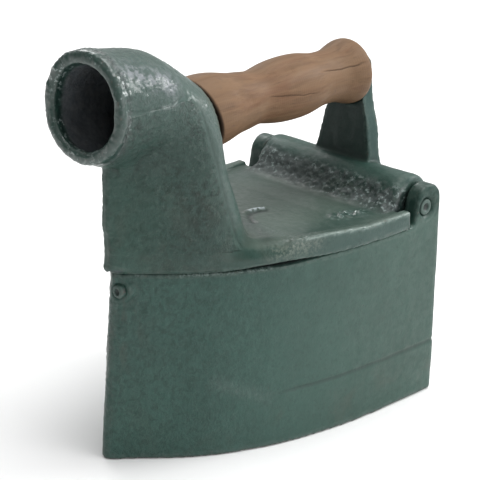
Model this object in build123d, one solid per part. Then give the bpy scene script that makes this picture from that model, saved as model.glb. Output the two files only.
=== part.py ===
from build123d import *
import math
import os

# Charcoal flat iron: a boat-shaped fire box, and a hinged lid that carries a
# chimney and a handle.
# Millimetres. Origin on the ground plane, mid-sole.
# +X toe, +Y left side of the iron, +Z up.
# Cutters run past the metal they cut; those overshoots are plain numbers.

os.makedirs("parts", exist_ok=True)

# ---- fire box -------------------------------------------------------------
# Left half of the sole plan, (x, y) from the toe back towards the heel
SOLE_HALF = [
    (84.4, 0.0), (81.2, 4.5), (73.2, 11.8), (64.8, 19.0), (56.2, 25.9),
    (47.0, 32.2), (36.5, 37.5), (25.6, 42.4), (13.3, 46.5), (-0.3, 49.6),
    (-14.9, 52.1), (-30.7, 53.8), (-47.6, 54.7), (-62.0, 55.1),
]
TOE_X = SOLE_HALF[0][0]
HEEL_X = -85.0             # flat heel face
HEEL_HALF = SOLE_HALF[-1][1]
HEEL_R = 1.6               # heel corner radius
BOX_H = 90.0               # rim height
TOE_SCALE = 0.933          # forward half shrinks to this at the rim (raked toe)
WALL = 5.0
SOLE_T = 12.0
STEP_Z, STEP_H, STEP_D = 26.3, 0.7, 0.4   # casting line round the heel half

# ---- hinge ----------------------------------------------------------------
HINGE_X, HINGE_Z = -74.3, 97.4
PIN_R, PIN_HALF = 4.0, 54.6
DIMPLE_R, DIMPLE_OUT = 2.6, 1.3           # centre sits this far past the pin end
PIN_BORE_R = PIN_R + 0.06  # running bore in the lid's roll
LUG_BORE_R = PIN_R + 0.02
LUG_IN = 46.8              # inner face of each lug
LUG_X, LUG_TOP, LUG_R = -76.1, 108.3, 8.4
LUG_FOOT_Z = 80.0
CBORE_R, CBORE_D = 5.3, 1.6
ROLL_R, ROLL_HALF = 13.4, 45.6
ROLL_FILLET = 3.2
ROLL_CLEAR = 0.8

# ---- lid ------------------------------------------------------------------
LID_Z0, LID_Z1 = BOX_H, 101.0
LID_TOE_Z = LID_Z1 + 0.4   # top face at the toe
LID_REAR_Z = 98.8          # top face behind its slope
DISH_Z = LID_REAR_Z - 2.2  # floor of the dish
LID_TOP_SCALE = 0.966      # forward scale of the plate's top outline
LID_OVER = 1.2             # overhang past the box side
LID_REAR = -61.7           # plate end beside the lugs
TONGUE_R = 141.6           # front face of the inner tongue, about the hinge axis
TONGUE_BACK_X = 60.0
TONGUE_Z = (77.0, 84.0, 92.0)             # bottom, middle, top
WEB_ANGLE = 28.0           # where the web leaves the roll, above horizontal
WEB_RUN = 11.0

# ---- chimney --------------------------------------------------------------
# Boat-shaped section: (fraction of length from the toe side, fraction of half width)
BOAT = [
    (0.0, 0.0), (0.018, 0.075), (0.07, 0.155), (0.2, 0.37), (0.38, 0.66), (0.55, 0.895),
    (0.68, 0.995), (0.80, 0.965), (0.905, 0.76), (0.97, 0.43), (1.0, 0.0),
]
# Outer stations: (toe-side x, z), section angle above horizontal in degrees,
# length, half width, roundness (0 boat-shaped, 1 round)
OUTER = [
    ((82.0, 92.5), 0, 70.5, 36.4, 0.0),
    ((83.6, 101.0), 0, 68.4, 36.0, 0.0),
    ((84.1, 112.0), 0, 64.8, 33.4, 0.0),
    ((84.3, 126.0), 0, 60.4, 31.4, 0.0),
    ((84.4, 138.8), 0, 57.4, 29.5, 0.0),
    ((84.6, 140.0), 15, 57.2, 28.3, 0.10),
    ((84.9, 140.7), 28, 58.2, 26.8, 0.30),
    ((85.3, 141.1), 41, 55.2, 25.6, 0.52),
    ((86.0, 141.4), 55, 53.6, 25.0, 0.76),
    ((87.0, 141.6), 71, 52.3, 24.6, 0.93),
    ((88.8, 142.0), 85, 51.5, 24.4, 1.0),
    ((97.0, 145.8), 85, 48.2, 24.1, 1.0),
]
# Duct stations below and beyond the ones offset from OUTER, same columns
DUCT_FOOT = [
    ((61.5, 84.0), 0, 40.0, 26.5, 0.35),
    ((63.0, 99.0), 0, 41.5, 27.0, 0.3),
]
DUCT_MOUTH = [
    ((97.6, 150.2), 85, 40.0, 20.0, 1.0),
    ((105.6, 150.9), 85, 40.0, 20.0, 1.0),
]
DUCT_WALL = 5.0
NOSE_EXTRA, BACK_EXTRA = 3.6, 0.4         # extra wall where the section is a full boat
MOUTH_X, MOUTH_Z, MOUTH_TILT = 94.9, 169.9, 5.0
MOUTH_R, LIP_R = 25.1, 2.75               # outside of the lip; radius of its round bead

# ---- rear post ------------------------------------------------------------
# Side view (x, z), and the tapering half width (y, z)
POST_SIDE = [(-72.6, 104), (-75.0, 113.5), (-79.0, 164), (-86.2, 164), (-83.6, 112), (-83.6, 104)]
POST_HALF = [(19.4, 104.0), (17.4, 111.0), (12.6, 135.0), (9.0, 154.0)]
POST_HEAD_R = 9.0

# ---- handle ---------------------------------------------------------------
# Grip profile (x, radius), from the front end back to the post
GRIP_PROFILE = [
    (34.0, 16.8), (28.0, 17.3), (21.0, 17.2), (14.5, 16.2), (7.0, 14.5), (-1.0, 13.5),
    (-9.0, 12.7), (-15.0, 13.6), (-22.0, 14.7), (-33.0, 15.3), (-42.0, 14.7), (-50.0, 13.2),
    (-57.0, 12.7), (-64.0, 13.2), (-69.5, 14.8), (-73.6, 15.8), (-76.0, 15.8), (-77.6, 14.9),
    (-78.1, 13.4),
]
GRIP_TIP, GRIP_REAR = GRIP_PROFILE[0][0], GRIP_PROFILE[-1][0]
GRIP_Z = 153.2
GRIP_FRONT = 25.3          # floor of the washer recess
GRIP_CUT = 27.6            # slanted front end, at the grip axis
GRIP_BORE_R = 3.25
GRIP_RECESS_R = 9.3
ROD_R, ROD_FRONT = 3.0, 39.0
NUT_AF, NUT_T = 10.0, 3.4
FRONT_WASHER_R, FRONT_WASHER_T = 8.0, 2.0
REAR_WASHER_R, WASHER_T = 7.6, 1.0
BOSS_X = GRIP_FRONT + FRONT_WASHER_T      # seat on the back of the chimney
POST_SEAT_FRONT = GRIP_REAR - 0.03
POST_SEAT_REAR = -85.4
NUT_X = POST_SEAT_REAR - WASHER_T         # nut face against the rear washer

# ---- toe screw ------------------------------------------------------------
SCREW_Y, SCREW_Z, SCREW_R = 3.2, 81.6, 1.9
SCREW_BOSS_R, SCREW_CBORE_R = 5.2, 3.7
# counterbore floor, set back from the raked toe
SCREW_SEAT_X = TOE_X * (1 - (1 - TOE_SCALE) * SCREW_Z / BOX_H) - 2.4
SCREW_HEAD_X = SCREW_SEAT_X + 0.05
SCREW_HEAD_R, SCREW_HEAD_T = 3.2, 2.8

# ---- grate ----------------------------------------------------------------
LEDGE_Z, LEDGE_H = 23.0, 5.0
LEDGE_SPANS = ((-70, -60), (-18, -8), (34, 44))
GRATE_T = 4.0
SLOT_W, SLOT_PITCH = 5.0, 11.0
SLOT_SPANS = ((-66, -22), (-14, 24))      # rear and front rows, x
SHORT_SLOT_END = 10                       # outermost slots of the front row
TOE_SLOT = (31, 53)

# ---- draught door ---------------------------------------------------------
AIR_Z, AIR_R, AIR_STEP = 17.5, 4.5, 15.0
DOOR_PIVOT_Z = 37.0
DOOR_T, DOOR_GAP = 2.5, 0.15
DOOR_IN_X = HEEL_X - DOOR_GAP             # face towards the heel
DOOR_OUT_X = DOOR_IN_X - DOOR_T
RIVET_R = 2.5
KNOB_Z = AIR_Z + 6.0
# Knob profile: (distance out from the door's outer face, radius)
KNOB_PROFILE = [
    (0.1 - DOOR_T, 0), (0.1 - DOOR_T, 2.0), (0, 2.0), (0, 3.4), (1.0, 3.4),
    (2.6, 2.2), (3.6, 3.6), (5.2, 4.2), (6.6, 3.2), (7.2, 0),
]


# ======================= helpers ===========================================
def outline(front=1.0, grow=0.0, z=0.0):
    """Boat-shaped plan of the iron at height z, grown outward by grow.
    front scales x > 0."""
    pts = [((x * front if x > 0 else x), y) for x, y in SOLE_HALF]
    curve = Spline(*([(x, -y) for x, y in pts[:0:-1]] + pts))
    steps = 15
    side = []
    for i in range(steps + 1):
        u = 0.5 + 0.5 * i / steps
        point, tangent = curve @ u, curve % u
        side.append((point.X + tangent.Y * grow, point.Y - tangent.X * grow))
    if grow < -2.5:
        # the offset sides cross near the toe; rebuild the point there
        keep = [p for p in side if p[1] > 3.0]
        side = [(keep[0][0] + keep[0][1] * 0.72, 0.0)] + keep
    heel_x, heel_y = HEEL_X - grow, HEEL_HALF + grow
    side[0] = (side[0][0], 0.0)
    side[-1] = (SOLE_HALF[-1][0], heel_y)
    r = max(HEEL_R + grow, 1.0)
    k = r * (1 - math.sqrt(0.5))
    loop = [(x, -y, z) for x, y in side[:0:-1]] + [(x, y, z) for x, y in side]
    left_start, left_mid, left_end = [
        (heel_x + r, heel_y, z), (heel_x + k, heel_y - k, z), (heel_x, heel_y - r, z)]
    right_start, right_mid, right_end = [
        (heel_x, r - heel_y, z), (heel_x + k, k - heel_y, z), (heel_x + r, -heel_y, z)]
    return Face(Wire([
        Spline(*loop),
        Line(loop[-1], left_start),
        ThreePointArc(left_start, left_mid, left_end),
        Line(left_end, right_start),
        ThreePointArc(right_start, right_mid, right_end),
        Line(right_end, loop[0]),
    ]))


def ring(front, outer, inner, z, height):
    """Band between two growths of the outline."""
    return (extrude(outline(front, outer, z), amount=height)
            - extrude(outline(front, inner, z - 1), amount=height + 2))


def cyl_x(radius, x0, x1, y=0.0, z=0.0):
    return Plane(origin=(x0, y, z), x_dir=(0, 1, 0), z_dir=(1, 0, 0)) * Cylinder(
        radius, x1 - x0, align=(Align.CENTER, Align.CENTER, Align.MIN))


def hinge_cyl(radius, y0, y1):
    """Cylinder on the hinge axis."""
    return Plane(origin=(HINGE_X, y0, HINGE_Z), x_dir=(1, 0, 0), z_dir=(0, 1, 0)) * Cylinder(
        radius, y1 - y0, align=(Align.CENTER, Align.CENTER, Align.MIN))


def rod_cyl(radius, x0, x1):
    """Cylinder on the handle axis."""
    return cyl_x(radius, x0, x1, 0, GRIP_Z)


def screw_cyl(radius, x0, x1):
    """Cylinder on the toe screw axis."""
    return cyl_x(radius, x0, x1, SCREW_Y, SCREW_Z)


def block(x0, x1, y0, y1, z0, z1):
    return Pos((x0 + x1) / 2, (y0 + y1) / 2, (z0 + z1) / 2) * Box(x1 - x0, y1 - y0, z1 - z0)


def y_span(side, inner, outer):
    """(low, high) y of a span on the left (side 1) or right (side -1)."""
    return sorted((side * inner, side * outer))


def prism_xz(points, y0, y1):
    """Closed XZ loop extruded from y0 to y1. A point is a corner (x, z), or
    (mid x, mid z, x, z) for an arc through mid to the corner."""
    edges = []
    here = (points[0][0], 0, points[0][1])
    for p in points[1:] + points[:1]:
        there = (p[-2], 0, p[-1])
        if len(p) == 4:
            edges.append(ThreePointArc(here, (p[0], 0, p[1]), there))
        else:
            edges.append(Line(here, there))
        here = there
    return Pos(0, y0, 0) * extrude(make_face(edges), amount=y1 - y0, dir=(0, 1, 0))


def round_end(shape, end, radius):
    """Fillet the circle at one X end: 0 is the heel end, -1 the toe end."""
    return fillet(shape.edges().filter_by(GeomType.CIRCLE).sort_by(Axis.X)[end], radius)


def tongue_x(z):
    """x of the tongue's front face at height z."""
    return HINGE_X + math.sqrt(TONGUE_R ** 2 - (z - HINGE_Z) ** 2)


# ======================= fire box ==========================================
def body_casting():
    box = loft([outline(), outline(TOE_SCALE, z=BOX_H)], ruled=True)
    box -= extrude(outline(TOE_SCALE, -WALL, SOLE_T), amount=BOX_H - SOLE_T + 5)

    # heel wall hollowed to clear the lid's roll between the lugs
    box = box - hinge_cyl(ROLL_R + ROLL_CLEAR, -LUG_IN, LUG_IN)
    box = box - block(HEEL_X - 5, HINGE_X, -LUG_IN, LUG_IN, 86.8, 100)

    # hinge lugs, flush with the sides
    lug_z = LUG_TOP - LUG_R
    lug_side = [(HEEL_X, LUG_FOOT_Z), (LUG_X - LUG_R, lug_z),
                (LUG_X, LUG_TOP, LUG_X + LUG_R, lug_z),
                (-65.4, BOX_H), (-64.4, LUG_FOOT_Z)]
    lug_trim = extrude(outline(TOE_SCALE), amount=120)
    for side in (1, -1):
        box = box + (prism_xz(lug_side, *y_span(side, LUG_IN, HEEL_HALF + 1)) & lug_trim)
    box = box - hinge_cyl(LUG_BORE_R, -70, 70)
    for side in (1, -1):
        box = box - hinge_cyl(CBORE_R, *y_span(side, HEEL_HALF - CBORE_D, HEEL_HALF + 5))

    # toe boss for the lid screw
    box = box + screw_cyl(SCREW_BOSS_R, 68.6, SCREW_SEAT_X)
    box = box - screw_cyl(SCREW_R + 0.05, 60, 95)
    box = box - screw_cyl(SCREW_CBORE_R, SCREW_SEAT_X, 95)

    # ledges for the grate, let into the wall
    ledges = ring(TOE_SCALE, -WALL + 1.0, -WALL - 5.0, LEDGE_Z - LEDGE_H, LEDGE_H)
    for x0, x1 in LEDGE_SPANS:
        for side in (1, -1):
            zone = block(x0, x1, *y_span(side, 5, 60), LEDGE_Z - 6, LEDGE_Z + 1)
            box = box + (ledges & zone)

    # air holes and rivet hole in the heel
    for k in (-1, 0, 1):
        box = box - cyl_x(AIR_R, HEEL_X - 3, HEEL_X + WALL + 3, k * AIR_STEP, AIR_Z)
    box = box - cyl_x(RIVET_R, HEEL_X - 3, HEEL_X + WALL + 3, 0, DOOR_PIVOT_Z)

    # casting line: a shallow groove
    groove = ring(1.0, 1.5, -STEP_D, STEP_Z, STEP_H)
    return box - (groove & block(-70, 4, -70, 70, 20, 30))


# ======================= lid casting =======================================
def section(origin, angle, length, half_width, roundness):
    """Closed face across the chimney, from one station."""
    dx, dz = -math.cos(math.radians(angle)), math.sin(math.radians(angle))
    left = []
    for t, boat_width in BOAT:
        round_width = 2 * math.sqrt(t * (1 - t))
        width = (1 - roundness) * boat_width + roundness * round_width
        s = t * length
        left.append((origin[0] + dx * s, width * half_width, origin[1] + dz * s))
    right = [(x, -y, z) for x, y, z in left[-2:0:-1]]
    return Face(Wire([Spline(*(left + right), periodic=True)]))


def tube(stations):
    return loft([section(*station) for station in stations])


def inward(station, wall):
    """Duct station one wall inside an outer station."""
    (x, z), angle, length, half_width, roundness = station
    nose = wall + (1 - roundness) * NOSE_EXTRA
    dx, dz = -math.cos(math.radians(angle)), math.sin(math.radians(angle))
    length = length - nose - wall - (1 - roundness) * BACK_EXTRA
    return (x + dx * nose, z + dz * nose), angle, length, half_width - wall, roundness


def lid_plate():
    # toe leans out to meet the chimney's front edge
    plate = loft([outline(TOE_SCALE, LID_OVER, LID_Z0),
                  outline(LID_TOP_SCALE, LID_OVER - 0.3, LID_TOE_Z)], ruled=True)
    # top face slopes down behind the chimney, then runs level
    plate = plate - prism_xz([(14, LID_TOE_Z), (-6, LID_Z1), (-32, LID_REAR_Z),
                              (-100, LID_REAR_Z), (-100, 110), (14, 110)], -70, 70)
    plate = plate - block(-100, HINGE_X, -70, 70, 80, 120)
    for side in (1, -1):
        plate = plate - block(-100, LID_REAR, *y_span(side, ROLL_HALF, 70), 80, 120)
    # shallow dish in the top, behind the chimney
    dish = extrude(outline(LID_TOP_SCALE, -3.8, LID_Z1 - 8), amount=14)
    dish = dish & prism_xz([(6, LID_Z1 + 0.05), (-22, LID_REAR_Z - 1.0), (-34, DISH_Z),
                            (-75, DISH_Z), (-75, 106), (6, 106)], -60, 60)
    return plate - dish


def mouth_lip():
    tilt = math.radians(MOUTH_TILT)
    mouth = Plane(origin=(MOUTH_X, 0, MOUTH_Z), x_dir=(0, 1, 0),
                  z_dir=(math.cos(tilt), 0, math.sin(tilt)))
    return mouth * Torus(MOUTH_R - LIP_R, LIP_R)


def hinge_roll():
    roll = hinge_cyl(ROLL_R, -ROLL_HALF, ROLL_HALF)
    # the edges include the cylinder's seam, which can make the fillet fail;
    # the roll then keeps sharp ends
    try:
        roll = fillet(roll.edges(), ROLL_FILLET)
    except Exception:
        pass
    return roll


def hinge_web():
    """Concave web from the roll down to the dish floor."""
    x = HINGE_X + ROLL_R * math.cos(math.radians(WEB_ANGLE))
    z = HINGE_Z + ROLL_R * math.sin(math.radians(WEB_ANGLE))
    half = ROLL_HALF - 3.4
    return prism_xz([(HINGE_X, LID_Z0), (HINGE_X, z), (x, z),
                     (x + 3.4, z - 4.0, x + WEB_RUN, DISH_Z), (x + WEB_RUN, LID_Z0)],
                    -half, half)


def rear_post():
    """Tapered strap leaning back, with a round head."""
    corners = [(0, y, z) for y, z in POST_HALF] + [(0, -y, z) for y, z in reversed(POST_HALF)]
    face = make_face(Polyline(*corners, close=True).edges())
    taper = Pos(-65, 0, 0) * extrude(face, amount=30, dir=(-1, 0, 0))
    taper = taper + cyl_x(POST_HEAD_R, -95, -65, 0, POST_HALF[-1][1])
    return prism_xz(POST_SIDE, -30, 30) & taper


def lid_casting():
    chimney = tube(OUTER)
    duct = tube(DUCT_FOOT + [inward(s, DUCT_WALL) for s in OUTER[2:-1]] + DUCT_MOUTH)
    lid = lid_plate() + chimney + mouth_lip() + hinge_roll() + hinge_web() + rear_post()

    # boss on the chimney back that takes the handle rod; its core stands in the duct
    lid = lid + rod_cyl(9.0, BOSS_X, 40.0)
    lid = lid - duct
    lid = lid + rod_cyl(8.0, 27.5, 38.5)

    # tongue behind the toe wall, its front face concentric with the hinge
    low, mid, high = TONGUE_Z
    lid = lid + prism_xz([(TONGUE_BACK_X, high), (TONGUE_BACK_X, low), (tongue_x(low), low),
                          (tongue_x(mid), mid, tongue_x(high), high)],
                         SCREW_Y - 6.4, SCREW_Y + 1.8)

    # locating rib under the plate, along each side
    ribs = ring(TOE_SCALE, -WALL - 1.6, -WALL - 4.6, LID_Z0 - 3.5, 4)
    for side in (1, -1):
        lid = lid + (ribs & block(-40, 40, *y_span(side, 5, 60), 80, 95))

    # boss seat, hinge bore and rod bores
    lid = lid - rod_cyl(9.2, 0, BOSS_X)
    lid = lid - hinge_cyl(PIN_BORE_R, -60, 60)
    lid = lid - rod_cyl(ROD_R + 0.02, 20, ROD_FRONT + 0.5)
    lid = lid - rod_cyl(ROD_R + 0.15, -100, -60)
    # flat seats on the front and rear of the post
    lid = lid - rod_cyl(16.6, POST_SEAT_FRONT, POST_SEAT_FRONT + 12)
    return lid - rod_cyl(8.2, POST_SEAT_REAR - 12, POST_SEAT_REAR)


# ======================= hinge pin =========================================
def hinge_pin():
    pin = hinge_cyl(PIN_R, -PIN_HALF, PIN_HALF)
    pin = chamfer(pin.edges().filter_by(GeomType.CIRCLE), 0.5)
    for side in (1, -1):
        pin = pin - Pos(HINGE_X, side * (PIN_HALF + DIMPLE_OUT), HINGE_Z) * Sphere(DIMPLE_R)
    return pin


# ======================= handle ============================================
def handle_grip():
    rear_rim = (GRIP_REAR, 0, GRIP_PROFILE[-1][1])
    rear_bore = (GRIP_REAR, 0, GRIP_BORE_R)
    front_bore = (GRIP_TIP, 0, GRIP_BORE_R)
    front_rim = (GRIP_TIP, 0, GRIP_PROFILE[0][1])
    face = make_face([
        Spline(*[(x, 0, r) for x, r in GRIP_PROFILE]),
        Line(rear_rim, rear_bore),
        Line(rear_bore, front_bore),
        Line(front_bore, front_rim),
    ])
    grip = revolve(face, axis=Axis((0, 0, 0), (1, 0, 0)))
    # front end cut to a slant, with a flat seat for the washer
    grip = grip - prism_xz([(GRIP_CUT - 9.0, -30), (GRIP_CUT + 9.0, 30), (80, 30), (80, -30)],
                           -40, 40)
    grip = grip - cyl_x(GRIP_RECESS_R, GRIP_FRONT, GRIP_TIP + 5)
    return Pos(0, 0, GRIP_Z) * grip


def handle_rod():
    rod = rod_cyl(ROD_R, NUT_X - NUT_T - 0.6, ROD_FRONT)
    return chamfer(rod.edges().filter_by(GeomType.CIRCLE), 0.4)


def washer(radius, x0, x1):
    return rod_cyl(radius, x0, x1) - rod_cyl(ROD_R + 0.1, x0 - 5, x1 + 5)


def front_washer():
    return washer(FRONT_WASHER_R, GRIP_FRONT, BOSS_X)


def rear_washer():
    return washer(REAR_WASHER_R, NUT_X, POST_SEAT_REAR)


def handle_nut():
    half = NUT_AF / 2
    nut = block(NUT_X - NUT_T, NUT_X, -half, half, GRIP_Z - half, GRIP_Z + half)
    nut = chamfer(nut.edges().filter_by(Axis.X), 1.2)
    return nut - rod_cyl(ROD_R + 0.02, -100, -80)


# ======================= toe screw =========================================
def toe_screw():
    head = screw_cyl(SCREW_HEAD_R, SCREW_HEAD_X, SCREW_HEAD_X + SCREW_HEAD_T)
    head = round_end(head, -1, 1.0)
    # the tip stops just short of the tongue
    tip_x = tongue_x(SCREW_Z + SCREW_R) + 0.08
    screw = head + screw_cyl(SCREW_R, tip_x, SCREW_HEAD_X + 1)
    return screw - Pos(SCREW_HEAD_X + 3.3, SCREW_Y, SCREW_Z) * Sphere(1.7)


# ======================= grate =============================================
def grate_slot(x0, x1, y):
    return Pos((x0 + x1) / 2, y, LEDGE_Z + GRATE_T / 2) * extrude(
        SlotOverall(x1 - x0, SLOT_W), amount=GRATE_T + 2, both=True)


def fire_grate():
    grate = extrude(outline(TOE_SCALE, -WALL - 1.5, LEDGE_Z), amount=GRATE_T)
    for k in range(-3, 4):
        for x0, x1 in SLOT_SPANS:
            if x1 > 0 and abs(k) == 3:
                x1 = SHORT_SLOT_END
            grate = grate - grate_slot(x0, x1, k * SLOT_PITCH)
    for side in (-1, 1):
        grate = grate - grate_slot(*TOE_SLOT, side * SLOT_PITCH / 2)
    return grate


# ======================= draught door ======================================
def draught_door():
    plane = Plane(origin=(DOOR_OUT_X, 0, 0), x_dir=(0, 1, 0), z_dir=(1, 0, 0))
    plan = Pos(0, DOOR_PIVOT_Z) * Circle(6.5) + Pos(0, AIR_Z + 0.3) * RectangleRounded(
        46, 13.4, 5.0)
    neck = Polyline((-5.5, DOOR_PIVOT_Z), (5.5, DOOR_PIVOT_Z), (13.0, AIR_Z), (-13.0, AIR_Z),
                    close=True)
    plan = plan + make_face(neck.edges())
    door = extrude(plane * plan, amount=DOOR_T)
    door = door - cyl_x(RIVET_R + 0.06, -100, -80, 0, DOOR_PIVOT_Z)
    return door - cyl_x(2.0, -100, -80, 0, KNOB_Z)


def draught_rivet():
    wall_x = HEEL_X + WALL
    head_x = DOOR_OUT_X - DOOR_GAP
    shank = cyl_x(RIVET_R, DOOR_OUT_X - 1.0, wall_x + 0.5, 0, DOOR_PIVOT_Z)
    head = round_end(cyl_x(4.6, head_x - 2.0, head_x, 0, DOOR_PIVOT_Z), 0, 1.6)
    tail = round_end(cyl_x(4.2, wall_x, wall_x + 1.8, 0, DOOR_PIVOT_Z), -1, 1.4)
    return shank + head + tail


def draught_knob():
    profile = Polyline(*[(DOOR_OUT_X - out, 0, r) for out, r in KNOB_PROFILE], close=True)
    knob = revolve(make_face(profile.edges()), axis=Axis((0, 0, 0), (1, 0, 0)))
    return Pos(0, 0, KNOB_Z) * knob


# Each file is named after the function that builds its piece
for build in (body_casting, lid_casting, hinge_pin, handle_grip, handle_rod, front_washer,
              rear_washer, handle_nut, toe_screw, fire_grate, draught_door, draught_rivet,
              draught_knob):
    piece = build()
    piece.label = build.__name__
    export_step(piece, f"parts/{build.__name__}.step")
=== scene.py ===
# Cast-iron charcoal iron: a fire box, a hinged lid with its chimney and a turned wooden grip.
# It stands on z = 0 with the toe towards +x, the heel and hinge towards -x and z up.
# Geometry is worked out in millimetres, and meshes, lights and camera are in metres.
import math
from itertools import product

import bmesh
import bpy
import numpy as np
from mathutils import Matrix, Vector


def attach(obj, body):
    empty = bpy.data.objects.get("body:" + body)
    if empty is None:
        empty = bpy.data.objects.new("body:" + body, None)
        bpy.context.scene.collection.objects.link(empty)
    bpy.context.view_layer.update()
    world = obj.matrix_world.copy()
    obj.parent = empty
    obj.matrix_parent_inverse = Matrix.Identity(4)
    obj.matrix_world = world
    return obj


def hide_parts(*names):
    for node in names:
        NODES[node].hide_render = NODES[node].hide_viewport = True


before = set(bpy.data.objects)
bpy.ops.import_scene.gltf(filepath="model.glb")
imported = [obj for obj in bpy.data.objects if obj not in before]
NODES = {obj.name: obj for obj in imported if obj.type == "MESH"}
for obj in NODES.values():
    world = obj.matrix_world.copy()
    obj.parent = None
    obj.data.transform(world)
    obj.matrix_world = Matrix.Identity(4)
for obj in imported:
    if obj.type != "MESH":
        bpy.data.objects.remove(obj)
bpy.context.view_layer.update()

scene = bpy.context.scene
scene.view_settings.view_transform = "Standard"
scene.view_settings.look = "None"

HINGE_X, HINGE_Z = -74.3, 97.4    # hinge axis, along y
ROD_Z = 153.2                     # axis of the handle rod and the grip, along x

# --------------------------------------------------------------------------
# Seeded noise and soft masks
# --------------------------------------------------------------------------
random = np.random.RandomState(41)
GRADIENTS = random.normal(size=(65536, 3))
GRADIENTS /= np.linalg.norm(GRADIENTS, axis=1)[:, None]
CELL_POINTS = random.uniform(size=(65536, 4))


def cell_hash(cell):
    a, b, c = cell.T
    return ((a * 73856093) ^ (b * 19349663) ^ (c * 83492791)) & 0xFFFF


def split_cells(points, size, shift):
    """Cell number of each point and its place inside the cell, 0..1."""
    scaled = points / size + shift
    cell = np.floor(scaled).astype(np.int64)
    return cell, scaled - cell


def noise(points, size, shift):
    """Gradient noise, about -1..1. size is the feature size, shift picks the pattern."""
    cell, inside = split_cells(points, size, shift)
    fade = inside ** 3 * (inside * (inside * 6 - 15) + 10)
    total = np.zeros(len(points))
    for corner in product((0, 1), repeat=3):
        wx, wy, wz = [fade[:, k] if c else 1 - fade[:, k] for k, c in enumerate(corner)]
        slope = GRADIENTS[cell_hash(cell + corner)]
        total += wx * wy * wz * (slope * (inside - corner)).sum(1)
    return total * 1.6


def pebbles(points, size, shift):
    """Rounded pebbles: 1 at cell centres, 0 at cell borders."""
    cell, inside = split_cells(points, size, shift)
    nearest = np.full(len(points), 9.0)
    second = nearest.copy()
    for step in product((-1, 0, 1), repeat=3):
        away = step + CELL_POINTS[cell_hash(cell + step)][:, :3] - inside
        square = (away ** 2).sum(1)
        second = np.minimum(second, np.maximum(nearest, square))
        nearest = np.minimum(nearest, square)
    return np.clip((np.sqrt(second) - np.sqrt(nearest)) * 2.0, 0, 1)


def rise(start, end, value):
    """Smooth step from 0 at start to 1 at end; start above end makes it fall."""
    t = np.clip((value - start) / (end - start), 0, 1)
    return t * t * (3 - 2 * t)


def bell(value, width):
    return np.exp(-(value / width) ** 2)


def within(value, low, high):
    return (value > low) & (value < high)


def nearest_on_line(points, line):
    """Distance from each point to a polyline, and the nearest place on it."""
    distance = np.full(len(points), 1e9)
    place = np.zeros_like(points)
    line = np.asarray(line, float)
    for start, end in zip(line[:-1], line[1:]):
        run = end - start
        t = np.clip(((points - start) @ run) / (run @ run), 0, 1)
        here = start + t[:, None] * run
        away = np.linalg.norm(points - here, axis=1)
        closer = away < distance
        distance[closer] = away[closer]
        place[closer] = here[closer]
    return distance, place


def line_distance(points, line):
    return nearest_on_line(points, line)[0]


def near(points, line, width):
    return bell(line_distance(points, line), width)


def mid_side(x):
    """1 at the middle of the gap between lid and box, fading towards its ends."""
    return bell(x - 16.0, 20.0)


def from_hinge(x, z):
    return np.hypot(x - HINGE_X, z - HINGE_Z)


# --------------------------------------------------------------------------
# Meshes
# --------------------------------------------------------------------------
def get_points(me):
    flat = np.zeros(len(me.vertices) * 3, np.float64)
    me.vertices.foreach_get("co", flat)
    return flat.reshape(-1, 3) * 1000.0


def set_points(me, co):
    me.vertices.foreach_set("co", (co / 1000.0).astype(np.float32).ravel())
    me.update()


def get_normals(me):
    flat = np.zeros(len(me.vertices) * 3, np.float32)
    me.update()
    me.vertex_normals.foreach_get("vector", flat)
    return flat.reshape(-1, 3).astype(np.float64)


def get_edges(me):
    flat = np.zeros(len(me.edges) * 2, np.int64)
    me.edges.foreach_get("vertices", flat)
    return flat.reshape(-1, 2)


def neighbour_counts(edges, total):
    count = np.bincount(edges.ravel(), minlength=total).astype(float)
    count[count == 0] = 1
    return count


def neighbour_mean(co, edges, counts):
    mean = np.empty_like(co)
    one, other = edges.T
    for k in range(co.shape[1]):
        mean[:, k] = (np.bincount(one, weights=co[other, k], minlength=len(co))
                      + np.bincount(other, weights=co[one, k], minlength=len(co))) / counts
    return mean


def relax(co, edges, rounds, blend):
    """Laplacian smoothing."""
    counts = neighbour_counts(edges, len(co))
    for _ in range(rounds):
        co = co + (neighbour_mean(co, edges, counts) - co) * blend
    return co


def spread(mask, edges, rounds, blend=0.6):
    """Soften a per-vertex mask over its neighbours."""
    return relax(mask.astype(float)[:, None], edges, rounds, blend)[:, 0]


def relax_region(co, edges, mask, rounds, blend, outward=None):
    """Smooth a masked region only. With normals given as outward, points never
    move inward, so valleys fill up."""
    inside = mask > 0.01
    touching = edges[inside[edges[:, 0]] | inside[edges[:, 1]]]
    used = np.unique(touching)
    local = np.full(len(co), -1)
    local[used] = np.arange(len(used))
    touching = local[touching]
    start = co[used]
    moved = start.copy()
    weight = (mask[used] * inside[used] * blend)[:, None]
    counts = neighbour_counts(touching, len(used))
    for _ in range(rounds):
        moved = moved + (neighbour_mean(moved, touching, counts) - moved) * weight
    if outward is not None:
        growth = ((moved - start) * outward[used]).sum(1)[:, None]
        moved = np.where(growth > 0, moved, start)
    result = co.copy()
    result[used] = moved
    return result


def curvature(co, normal, edges, scale=0.06):
    """(convex, concave), each 0..1 per vertex."""
    pull = relax(co, edges, 3, 1.0) - co
    curve = spread(-(pull * normal).sum(1), edges, 4) / scale
    return np.clip(curve, 0, 1), np.clip(-curve, 0, 1)


def set_attributes(me, **values):
    for name, value in values.items():
        layer = me.attributes.new(name, "FLOAT", "POINT")
        layer.data.foreach_set("value", np.asarray(value, np.float32))


def new_object(name, me):
    obj = bpy.data.objects.new(name, me)
    scene.collection.objects.link(obj)
    me.polygons.foreach_set("use_smooth", np.ones(len(me.polygons), bool))
    return obj


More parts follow.
